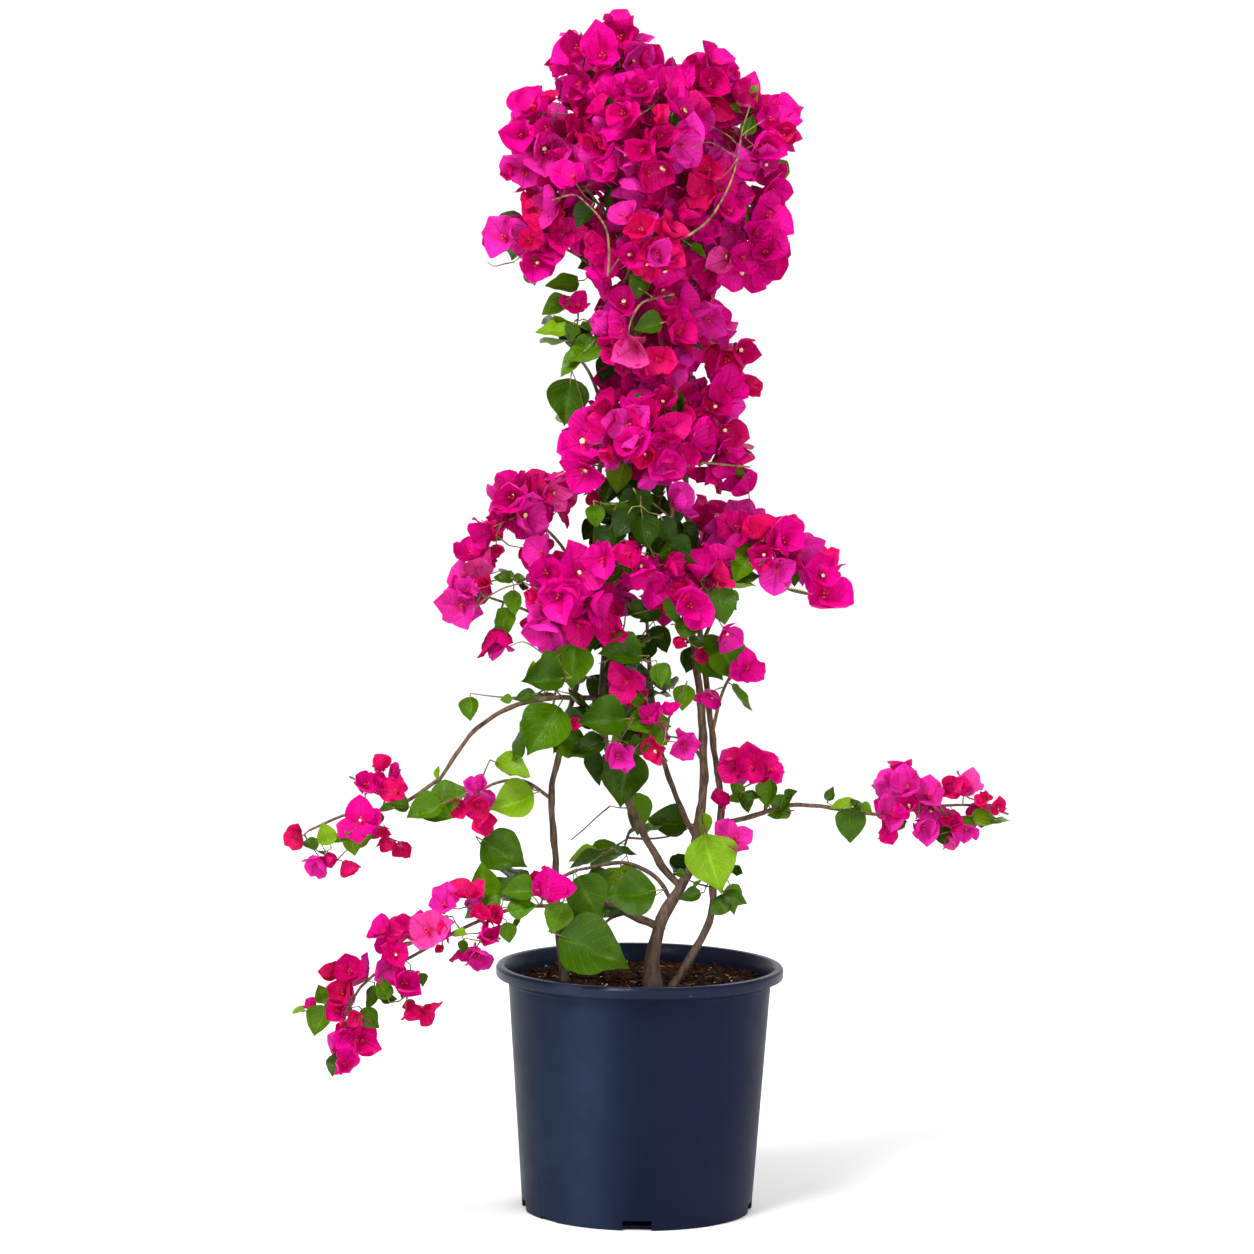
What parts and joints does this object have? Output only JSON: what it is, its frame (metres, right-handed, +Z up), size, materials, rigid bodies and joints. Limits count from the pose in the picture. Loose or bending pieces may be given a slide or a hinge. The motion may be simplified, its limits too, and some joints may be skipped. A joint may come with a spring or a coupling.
{
  "type": "potted bougainvillea bush",
  "caption": "Upright bougainvillea bush in full bloom, a narrow column with a broad head and long arching sprays, standing in its nursery pot.",
  "frame": {"origin": "centre of the flat underside of the pot, on the surface that the pot stands on", "axes": "+Z up along the pot's axis and the plant's stems, +Y away from the viewer of the plant's best side, +X to that viewer's right"},
  "size_m": [0.7506, 0.3238, 1.159],
  "materials": {
    "pot": "dark navy moulded plastic with a soft sheen",
    "soil": "damp dark potting mix with bark and white perlite",
    "bark": "dull grey-brown bark, olive on the young stems",
    "bracts": "thin papery magenta bracts",
    "leaves": "soft green leaf with a slight sheen"
  },
  "bodies": {
    "root": {"pot": "pot", "potting_soil": "soil", "trunk": "bark", "right_leader": "bark", "centre_leader": "bark", "right_inner_stem": "bark", "right_outer_stem": "bark", "left_stem": "bark", "low_left_bough": "bark", "short_left_bough": "bark", "high_left_arch": "bark", "right_arch": "bark", "crown_peak": "bracts", "crown_right": "bracts", "head_right_top": "bracts", "head_right_low": "bracts", "head_left_top": "bracts", "head_left_low": "bracts", "head_front_top": "bracts", "head_front_low": "bracts", "head_back_top": "bracts", "head_back_low": "bracts", "head_front_left": "bracts", "head_front_right": "bracts", "column_right_top": "bracts", "column_right_low": "bracts", "column_front_top": "bracts", "column_front_low": "bracts", "column_left_leaves": "leaves", "column_left_low": "bracts", "column_back_top": "bracts", "column_back_low": "bracts", "skirt_left": "bracts", "skirt_left_low": "bracts", "skirt_front_left": "bracts", "skirt_front": "bracts", "skirt_front_right": "bracts", "skirt_right": "bracts", "skirt_right_tip": "bracts", "skirt_right_leaves": "leaves", "skirt_back_left": "bracts", "skirt_back_right": "bracts", "left_leaves": "leaves", "centre_blooms": "bracts", "centre_leaves": "leaves", "right_centre_blooms": "bracts", "back_leaves": "leaves", "right_low_blooms": "bracts", "right_low_leaves": "leaves", "base_left_leaves": "leaves", "base_front_leaves": "leaves", "base_back_leaves": "leaves", "mid_left_spray": "bracts", "high_left_spray": "bracts", "low_left_spray": "bracts", "right_spray": "bracts"}
  },
  "joints": []
}
